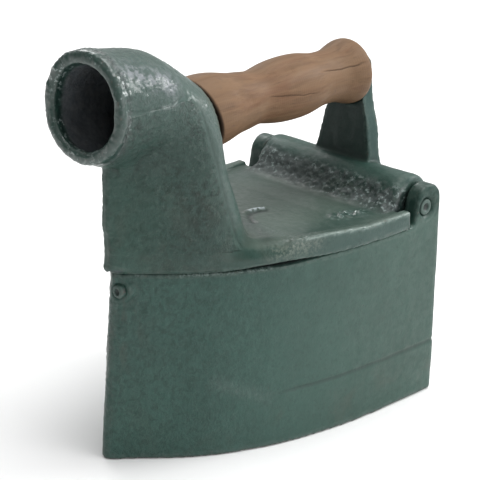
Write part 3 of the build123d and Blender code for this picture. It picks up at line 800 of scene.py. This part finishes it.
# relief: waves and grain everywhere, then each area's own texture
relief = 0.34 * noise(co, size=21.0, shift=5.3) * (~top_plate)
relief += 0.18 * noise(co, size=15.0, shift=1.9) + 0.11 * noise(co, size=6.5, shift=3.7)
relief += (0.045 + 0.03 * (x > 20)) * noise(co, size=2.4, shift=9.1)
relief += 0.055 * (x > 20) * (pebbles(co, size=2.6, shift=4.4) - 0.45)
pits = pebbles(co, size=2.3, shift=1.3)
coarse = pits - 0.45
fine = pebbles(co, size=1.7, shift=6.1) - 0.45
relief += roll_front * (0.46 * (pebbles(co, size=3.7, shift=4.9) - 0.45) + 0.16 * (pits - 0.4)
                        + 0.40 * noise(co, size=5.0, shift=2.0))
relief += roll_foot * (0.50 * noise(co, size=8.0, shift=6.2)
                       + 0.20 * noise(co, size=3.2, shift=4.2))
relief += 0.28 * above - 0.24 * crest + 0.30 * seam
relief += flank * (0.22 * (pebbles(co * [1, 1, 1.5], size=3.0, shift=7.1) - 0.45)
                   + 0.17 * noise(co * [0.6, 0.6, 1.6], size=3.2, shift=6.4))
relief += lip * (0.17 * coarse + 0.15 * fine + 0.30 * noise(co, size=7.0, shift=8.0))
relief += edge_speckle * (0.34 * fine + 0.20 * coarse)
relief += bumps * (0.9 + 1.1 * noise(co, size=3.8, shift=5.5)
                   + 0.9 * (pebbles(co, size=3.3, shift=3.9) - 0.4))
relief += tube_top * (0.16 * coarse + 0.10 * noise(co, size=3.3, shift=6.6))
relief += strip * (0.14 * coarse + 0.10 * noise(co, size=3.6, shift=2.6))
relief += column_base * 0.35 * (~inner)
# curved casting crease on the plate behind the chimney: a ridge beside a valley
valley = line_distance(co, CREASE_VALLEY)
relief += top_plate * (0.75 * near(co, CREASE_RIDGE, width=1.7) - 0.70 * bell(valley, 1.2))
relief = np.where(inner, 0.35 * noise(co, size=7.0, shift=1.0) + 0.18 * (pits - 0.5), relief)
relief = np.where(under & ~inner, 0.22 * noise(co, size=6.0, shift=1.0), relief)
moved = co + normal * (relief * keep)[:, None]

# the mouth's bore is pulled in unevenly: most at top, bottom and the -y side
pull = 0.2 + 1.3 * bell(mouth_angle - 95.0, 34.0) + 1.0 * bell(mouth_angle + 78.0, 30.0)
pull += 0.45 * noise(co, size=11.0, shift=9.9) + 1.4 * bell(np.abs(mouth_angle) - 180.0, 48.0)
pull *= rise(24.2, 20.5, mouth_radius) * (mouth_radius < 23.5) * rise(-26.0, -8.0, mouth_along)
radial = y[:, None] * np.array([0, 1, 0]) + mouth_up[:, None] * MOUTH_UP
moved -= radial * (pull / np.maximum(mouth_radius, 1))[:, None]
# thin gap over the box rim along the middle of each side
rim_edge = within(z, 89.5, 92.6) & (side > 20) & within(x, -60, 62) & ~inner
moved[:, 2] += rim_edge * 1.45 * mid_side(x) * rise(92.6, 90.6, z)
# the plate sinks along its -y edge
moved[:, 2] -= 1.3 * rise(-41.0, -50.0, y) * rise(94.0, 98.0, z) * (z < 103) * (x < 22)
# the rear post narrows upwards and ends round about the rod
post_top = (x < -77.0) * rise(128.0, 142.0, z)
moved[:, 1] -= np.sign(y) * 1.7 * post_top * rise(6.0, 12.0, side)
round_top = (x < -77.0) * rise(147.8, 150.8, z) * (rod_reach > POST_TOP_RADIUS)
round_radius = POST_TOP_RADIUS + 0.08 * (rod_reach - POST_TOP_RADIUS)
shrink = 1 + round_top * (round_radius / np.maximum(rod_reach, 1) - 1)
moved[:, 1] *= shrink
moved[:, 2] = ROD_Z + (moved[:, 2] - ROD_Z) * shrink
# faces beside the hinge lugs move towards the toe
moved[:, 0] += 0.8 * (side > 45.9) * rise(-59.0, -61.4, x) * (x > -66) * (z < 101)
set_points(lid.data, moved)

lug_gap = (side > 44.2) * within(x, -73, -60.6) * (np.abs(nz) < 0.8) * (z < 104)
toe_face_of_post = within(x, -82, -70) * rise(0.5, 0.9, nx)
post_front = toe_face_of_post * rise(106, 112, z)
post_side = (x < -70) * (z > 108) * rise(0.5, 0.9, np.abs(ny))
plate_wall = within(z, 90.5, 99.6) * within(x, -63, 4) * rise(0.6, 0.9, outward)
roll_top = within(x, -84, -64) * rise(102, 105, z) * (z < 112) * (side < 46) * rise(0.4, 0.8, nz)
# convex top edge of the plate's rim, which gets a painted highlight
rim_line = (convex > 0.15) * within(z, 97.8, 103.5) * within(x, -62, 6) * (side > 43)
rim_line = rim_line * (outward > 0.1) * (nz > 0.1)
soot = (inner | under).astype(float)
at_mouth = within(mouth_along, -3.0, 3.5) & (mouth_radius < 24)
soot = np.where(at_mouth, soot * rise(-1.5, -4.5, mouth_along), soot)
set_attributes(
    lid.data,
    # painted shade in the gaps beside the lugs, in the crease's valley, behind the chimney
    # column and on the post's toe face
    dark=np.clip(lug_gap + 0.8 * bell(valley, 1.7) * top_plate
                 + 0.60 * near(co, COLUMN_SHADE, width=4.0)
                 + 0.60 * toe_face_of_post * rise(108, 114, z), 0, 1),
    crest=crest,
    flank=flank,
    rough=np.clip(1.0 * flank + 0.6 * strip + 0.8 * above, 0, 1),
    above=above * rise(184, 178, z) * (outward > 0.3),
    # the seam's light colour is painted glints
    seam=seam,
    espk=edge_speckle,
    foot=roll_foot,
    lip=lip,
    rleft=rise(8.0, -22.0, y),
    bumps=bumps,
    glint=near(co, CREASE_GLINT, width=1.1) * top_plate,
    # painted shade on the rear post's sides and the plate's outer wall
    postside=np.clip(post_side + 0.55 * plate_wall, 0, 1),
    # painted highlight on the tube's top
    haze=near(co, TUBE_HAZE, width=5.2) * (~inner),
    matte=np.clip(0.60 * roll_foot + 0.28 * roll_top + 0.25 * post_front + 0.30 * post_side
                  + 0.7 * foot * rise(42, 34, x) + 0.4 * column_base, 0, 1),
    rimline=spread(rim_line, edges, 1, blend=0.4),
    # painted shade along the plate's sides, inside the rim
    greener=np.maximum(*[near(co, line, width=10.0) for line in PLATE_SIDES]) * top_plate,
    edge=np.clip(convex * 1.1 - 0.1, 0, 1),
    cav=concave,
    soot=spread(soot, edges, 3),
    pebble=np.clip(0.45 * roll_front + 0.75 * edge_speckle + 1.0 * lip + 0.80 * bumps
                   + 0.40 * tube_top + 0.30 * strip + 0.9 * seam, 0, 1),
    # painted light on the plate's upward faces
    top=spread(top_plate | (within(z, 98, 102) & (x < 20) & (nz > 0.3)), edges, 3),
    strip=spread(strip, edges, 4),
    rollf=roll_front,
    # painted shade at the foot of the chimney column
    nape=column_base * (nz > 0.2))

lid_enamel = enamel("enamel_lid", dark=(0.018, 0.050, 0.039), mid=(0.025, 0.062, 0.049),
                    light=(0.036, 0.074, 0.061), rough=0.38, peel=0.095, grime=0.30,
                    zones=lid_zones)
stand_in(lid, "lid_casting", "lid", lid_enamel)

# --------------------------------------------------------------------------
# Turned grip
# --------------------------------------------------------------------------
OUTER_RINGS, AROUND = 262, 236
FRONT_X, FRONT_LEAN = 28.5, 0.3    # the front end is cut to the chimney's slant
SEAT_X, SEAT_RADIUS = 25.3, 9.3    # recess in the front end
BORE_RADIUS = 3.25
# cracks: points x y z, half width, depth
CRACKS = [
    ([(-44.0, 11.6, 161.2), (-46.7, 11.4, 161.0), (-58.0, 11.0, 159.6), (-67.2, 12.4, 159.6),
      (-75.0, 13.8, 160.6)], 0.26, 0.34),
    ([(-6.0, 12.7, 156.6), (-8.8, 12.7, 156.3), (-19.4, 14.2, 154.9), (-28.9, 15.1, 153.6),
      (-41.0, 14.9, 152.9)], 0.22, 0.26),
    ([(14.0, -9.0, 166.0), (2.0, -8.4, 164.8), (-14.0, -8.8, 163.6), (-30.0, -9.0, 165.4)],
     0.30, 0.30),
    ([(-50.0, -10.2, 144.6), (-62.0, -9.6, 144.2), (-76.0, -11.0, 143.0)], 0.30, 0.30),
]
# dents: line and width
DENTS = [([(-25, 9, 165.5), (-22, 9, 165.5)], 2.5), ([(6, 13, 158), (8, 13, 157)], 2.2)]


def grip_profile():
    """Stations along x and the lightly smoothed radius at each, from the CAD grip."""
    points = get_points(NODES["handle_grip"].data)
    radius = np.hypot(points[:, 1], points[:, 2] - ROD_Z)
    outer = radius > 11.0
    outer_x, outer_radius = points[outer, 0], radius[outer]
    cad_x = np.unique(np.round(outer_x, 3))
    cad_radius = [outer_radius[np.abs(outer_x - q) < 0.002].max() for q in cad_x]
    stations = np.linspace(cad_x.min(), cad_x.max(), OUTER_RINGS)
    raw = np.interp(stations, cad_x, cad_radius)
    kernel = np.exp(-np.linspace(-2.2, 2.2, 9) ** 2)
    kernel /= kernel.sum()
    smooth = np.convolve(np.pad(raw, 4, mode="edge"), kernel, mode="valid")
    weight = rise(0, 3, stations - stations[0]) * rise(0, 3, stations[-1] - stations)
    return stations, raw * (1 - weight) + smooth * weight


def grip_rings(angles):
    """(x, radius) round each ring: outside, front end, recess, bore, rear end."""
    stations, radii = grip_profile()
    rear_x = stations[0]
    up = np.sin(angles)
    front_x = np.full(AROUND, FRONT_X)
    for _ in range(6):
        front_x = FRONT_X + FRONT_LEAN * np.interp(front_x, stations, radii) * up
    rings = []
    for t in np.linspace(0.0, 1.0, OUTER_RINGS):
        ring_x = rear_x + (front_x - rear_x) * t
        radius = np.interp(ring_x, stations, radii)
        radius = radius - 0.9 * (1 - rise(0.0, 1.3, ring_x - rear_x)) ** 1.5    # rear arris
        radius = radius - 0.7 * (1 - rise(0.0, 1.1, front_x - ring_x)) ** 1.5   # front arris
        rings.append((ring_x, radius))
    front_radius = radius
    for t in np.linspace(0, 1, 12)[1:]:
        radius = front_radius * (1 - t) + SEAT_RADIUS * t
        rings.append((FRONT_X + FRONT_LEAN * radius * up, radius))
    lip_x = rings[-1][0]
    seat_x = np.minimum(lip_x - 0.05, SEAT_X)
    # straight runs: start and end as (x, radius), steps between them
    for start, end, steps in (
            ((lip_x, SEAT_RADIUS), (seat_x, SEAT_RADIUS), np.linspace(0, 1, 8)[1:]),
            ((seat_x, SEAT_RADIUS), (seat_x, BORE_RADIUS), np.linspace(0, 1, 10)[1:]),
            ((seat_x, BORE_RADIUS), (rear_x, BORE_RADIUS), np.linspace(0, 1, 40)[1:-1]),
            ((rear_x, BORE_RADIUS), (rear_x, rings[0][1]), np.linspace(0, 1, 26)[:-1])):
        for t in steps:
            rings.append(tuple(a * (1 - t) + b * t for a, b in zip(start, end)))
    return rings, rear_x, front_x


def ring_mesh(name, co, count):
    """Closed skin over rings of AROUND points, the last joined to the first."""
    faces = []
    for i in range(count):
        a, b = i * AROUND, ((i + 1) % count) * AROUND
        for k in range(AROUND):
            after = (k + 1) % AROUND
            faces.append((a + k, b + k, b + after, a + after))
    me = bpy.data.meshes.new(name)
    me.from_pydata((co / 1000.0).tolist(), [], faces)
    me.update()
    bm = bmesh.new()
    bm.from_mesh(me)
    bmesh.ops.recalc_face_normals(bm, faces=bm.faces[:])
    bm.to_mesh(me)
    bm.free()
    return me


def grip_cracks(co, angle):
    """Crack mask 0..1 and crack depth in mm."""
    mask = np.zeros(len(co))
    depth = np.zeros(len(co))
    x = co[:, 0]
    radius = np.hypot(co[:, 1], co[:, 2] - ROD_Z)
    for line, width, deep in CRACKS:
        line = np.array(line)
        dense = [a * (1 - t) + b * t for a, b in zip(line[:-1], line[1:])
                 for t in np.linspace(0, 1, 14, endpoint=False)]
        dense = np.array(dense + [line[-1]])
        line_angle = np.unwrap(np.arctan2(dense[:, 2] - ROD_Z, dense[:, 1]))
        order = np.argsort(dense[:, 0])
        middle = np.interp(x, dense[order, 0], line_angle[order])
        wobble = 0.030 * noise(co * [1, 0, 0], size=5.0, shift=3.3 + width)
        turn = (angle - middle - wobble + math.pi) % (2 * math.pi) - math.pi
        low, high = dense[:, 0].min(), dense[:, 0].max()
        span = rise(low - 0.5, low + 7, x) * rise(high + 0.5, high - 7, x)
        crack = bell(turn * radius, width) * span
        mask = np.maximum(mask, crack)
        depth = np.maximum(depth, crack * deep)
    return mask, depth


def turned_grip():
    angles = np.linspace(0, 2 * math.pi, AROUND, endpoint=False)
    rings, rear_x, front_x = grip_rings(angles)
    grid = np.zeros((len(rings), AROUND, 3))
    for i, (ring_x, radius) in enumerate(rings):
        grid[i, :, 0] = ring_x
        grid[i, :, 1] = radius * np.cos(angles)
        grid[i, :, 2] = ROD_Z + radius * np.sin(angles)
    co = grid.reshape(-1, 3)
    me = ring_mesh("turned_grip", co, len(rings))
    grip = new_object("turned_grip", me)
    normal = get_normals(me)
    outside = np.arange(len(co)) < OUTER_RINGS * AROUND
    x = co[:, 0]
    crack, depth = grip_cracks(co, np.tile(angles, len(rings)))
    # relief: fine grain, slow waves, turning marks, cracks and dents, fading at the ends
    relief = 0.055 * noise(co * [0.05, 1.0, 1.0], size=1.5, shift=2.0)
    relief += 0.12 * noise(co * [0.5, 1, 1], size=13.0, shift=6.0)
    relief += 0.03 * np.sin(x * 5.2 + 1.5 * noise(co, size=9.0, shift=1.0))
    relief -= depth + 0.35 * sum(near(co, line, width) for line, width in DENTS)
    to_front = np.tile(front_x, len(rings)) - x
    relief *= rise(0.0, 1.5, x - rear_x) * rise(0.0, 1.5, to_front)
    set_points(me, co + normal * np.where(outside, relief, 0)[:, None])
    # the end mask: stain near the ends outside, and painted shade on every face that is not
    # outside
    to_end = np.minimum(x - rear_x, to_front)
    front_end = rise(0.9, 0.4, to_end + 0.25 * noise(co, size=6.0, shift=1.0))
    near_end = np.where(x > 0, front_end, rise(0.7, 0.3, to_end))
    set_attributes(me, crack=crack * outside, end=np.where(outside, 0.9 * near_end, 0.95))
    stand_in(grip, "handle_grip", "lid", wood("turned_wood"))


turned_grip()

# --------------------------------------------------------------------------
# Small pieces: softened edges and slight unevenness
# --------------------------------------------------------------------------
SMALL_MATERIALS = {    # by slot
    "rod_steel": steel("rod_steel", base=(0.115, 0.105, 0.095), rust=0.75, worn=0.45),
    "pin_enamel": steel("pin_enamel", base=(0.07, 0.08, 0.075), rust=0.25, worn=0.35,
                        painted=True),
    "raw_iron": raw_iron("raw_iron"),
    "enamel_body": enamel("enamel_door", dark=(0.019, 0.050, 0.040), mid=(0.026, 0.064, 0.051),
                          light=(0.040, 0.080, 0.066), rough=0.44, peel=0.085, grime=0.75),
}
ROD_BORE_RADIUS = 3.4    # nut and washer keep this bore when slimmed
RIVET_Z = 37.0           # rivet the draught door turns on


def slimmed(co, factor):
    """Shrink about the rod's axis outside the bore."""
    reach = np.hypot(co[:, 1], co[:, 2] - ROD_Z)
    new_reach = ROD_BORE_RADIUS + (reach - ROD_BORE_RADIUS) * factor
    scale = np.where(reach > ROD_BORE_RADIUS, new_reach / np.maximum(reach, 0.1), 1.0)
    return np.c_[co[:, 0], co[:, 1] * scale, ROD_Z + (co[:, 2] - ROD_Z) * scale]


def small_piece(node, rides, slot, voxel, wave=0.0, fine=0.0, slim=None, free=None):
    """wave and fine are relief heights; free(points, normals) says where relief may act."""
    obj, co, edges = rounded(node + "_visual", node, voxel, blend=0.4)
    me = obj.data
    if slim is not None:
        co = slimmed(co, slim)
    set_points(me, co)
    normal = get_normals(me)
    convex, concave = curvature(co, normal, edges, scale=0.035)
    if free is not None:
        relief = wave * noise(co, size=4.5, shift=2.7) + fine * noise(co, size=1.4, shift=8.1)
        set_points(me, co + normal * (relief * free(co, normal))[:, None])
    set_attributes(me, edge=convex, cav=concave, soot=np.zeros(len(co)),
                   pebble=np.full(len(co), 0.3))
    stand_in(obj, node, rides, SMALL_MATERIALS[slot])


small_piece("hinge_pin", "fire_box", "pin_enamel", voxel=0.38, wave=0.05, fine=0.03,
            free=lambda p, n: rise(51.0, 53.0, np.abs(p[:, 1])))
small_piece("toe_screw", "screw", "pin_enamel", voxel=0.22, wave=0.10, fine=0.04,
            free=lambda p, n: rise(78.0, 79.2, p[:, 0]))
small_piece("handle_rod", "lid", "rod_steel", voxel=0.40)
small_piece("handle_nut", "lid", "rod_steel", voxel=0.28, wave=0.06, fine=0.02, slim=0.52,
            free=lambda p, n: (np.hypot(p[:, 1], p[:, 2] - ROD_Z) > 4.0) * (p[:, 0] < -87.5))
small_piece("rear_washer", "lid", "rod_steel", voxel=0.24, slim=0.70)
small_piece("front_washer", "lid", "rod_steel", voxel=0.28)
small_piece("fire_grate", "fire_box", "raw_iron", voxel=0.9, wave=0.12, fine=0.05,
            free=lambda p, n: p[:, 2] > 25.0)
small_piece("draught_door", "draught", "enamel_body", voxel=0.42, wave=0.08, fine=0.03,
            free=lambda p, n: ((n[:, 0] < -0.3)
                               * rise(6.0, 7.5, np.hypot(p[:, 1], p[:, 2] - RIVET_Z))))
small_piece("draught_rivet", "fire_box", "rod_steel", voxel=0.26, wave=0.06, fine=0.02,
            free=lambda p, n: p[:, 0] < -88.6)
small_piece("draught_knob", "draught", "rod_steel", voxel=0.26, wave=0.05, fine=0.02,
            free=lambda p, n: p[:, 0] < -90.0)

# --------------------------------------------------------------------------
# Floor, world, lights and camera, in metres
# --------------------------------------------------------------------------
LIGHT_TARGET = Vector((0.0, 0.0, 0.10))
LIGHTS = [    # name, place, width, height, watts, colour
    ("overhead", (-0.25, 0.10, 1.60), 1.1, 1.1, 17.0, (1, 1, 1)),
    ("back_right", (-1.25, 0.62, 0.86), 0.55, 0.24, 11.5, (1, 1, 1)),
    ("side_fill", (-0.35, 1.65, 0.62), 1.0, 1.0, 7.0, (0.97, 0.99, 1.0)),
    ("back_left", (-0.55, -1.15, 1.05), 0.6, 0.4, 5.0, (1, 1, 1)),
]
CAMERA_TARGET = Vector((0.0, 0.0028553, 0.085695))
CAMERA_DISTANCE = 0.9771989
CAMERA_AZIMUTH, CAMERA_ELEVATION, CAMERA_ROLL = map(math.radians, (133.1864, 20.7706, 1.2842))


def add_floor():
    bpy.ops.mesh.primitive_plane_add(size=12.0, location=(0, 0, -0.0004))
    floor = bpy.context.active_object
    floor.name = "studio_floor"
    m = Material("studio_floor")
    col = m.mix(m.patches((900.0, 2, 0.55), over=(0.3, 0.7)), (0.86,) * 3, (0.88,) * 3)
    floor.data.materials.append(
        m.finish(Base_Color=col, Roughness=0.9, Specular_IOR_Level=0.1))


def add_world():
    """White surroundings, brightest from the heel, +y and above."""
    world = bpy.data.worlds.new("studio")
    scene.world = world
    world.use_nodes = True
    nodes, links = world.node_tree.nodes, world.node_tree.links
    background = nodes["Background"]
    background.inputs[0].default_value = (1.0, 1.0, 1.0, 1.0)
    toward = nodes.new("ShaderNodeVectorMath")
    toward.operation = "DOT_PRODUCT"
    toward.inputs[1].default_value = (-0.62, 0.50, 0.60)
    coordinates = nodes.new("ShaderNodeTexCoord")
    links.new(coordinates.outputs["Generated"], toward.inputs[0])
    strength = nodes.new("ShaderNodeMapRange")
    for name, value in (("From Min", -0.75), ("From Max", 0.85),
                        ("To Min", 0.16), ("To Max", 0.86)):
        strength.inputs[name].default_value = value
    links.new(toward.outputs["Value"], strength.inputs["Value"])
    links.new(strength.outputs[0], background.inputs[1])


def add_light(name, place, width, height, watts, colour):
    light = bpy.data.lights.new(name, "AREA")
    light.shape = "RECTANGLE"
    light.size = width
    light.size_y = height
    light.energy = watts
    light.color = colour
    obj = bpy.data.objects.new(name, light)
    scene.collection.objects.link(obj)
    obj.location = place
    obj.rotation_euler = (LIGHT_TARGET - Vector(place)).to_track_quat("-Z", "Y").to_euler()


def add_camera():
    lens = bpy.data.cameras.new("camera")
    lens.sensor_width = 36.0
    lens.lens = 155.76
    lens.clip_start = 0.05
    lens.clip_end = 30.0
    camera = bpy.data.objects.new("camera", lens)
    scene.collection.objects.link(camera)
    back = Vector((math.sin(CAMERA_AZIMUTH) * math.cos(CAMERA_ELEVATION),
                   -math.cos(CAMERA_AZIMUTH) * math.cos(CAMERA_ELEVATION),
                   math.sin(CAMERA_ELEVATION)))
    level = (-back).cross(Vector((0, 0, 1))).normalized()
    upright = level.cross(-back)
    cos_roll, sin_roll = math.cos(CAMERA_ROLL), math.sin(CAMERA_ROLL)
    right = level * cos_roll + upright * sin_roll
    up = -level * sin_roll + upright * cos_roll
    turn = Matrix((right, up, back)).transposed().to_4x4()
    camera.matrix_world = Matrix.Translation(CAMERA_TARGET + back * CAMERA_DISTANCE) @ turn
    scene.camera = camera


add_floor()
add_world()
for row in LIGHTS:
    add_light(*row)
add_camera()

bpy.context.view_layer.update()
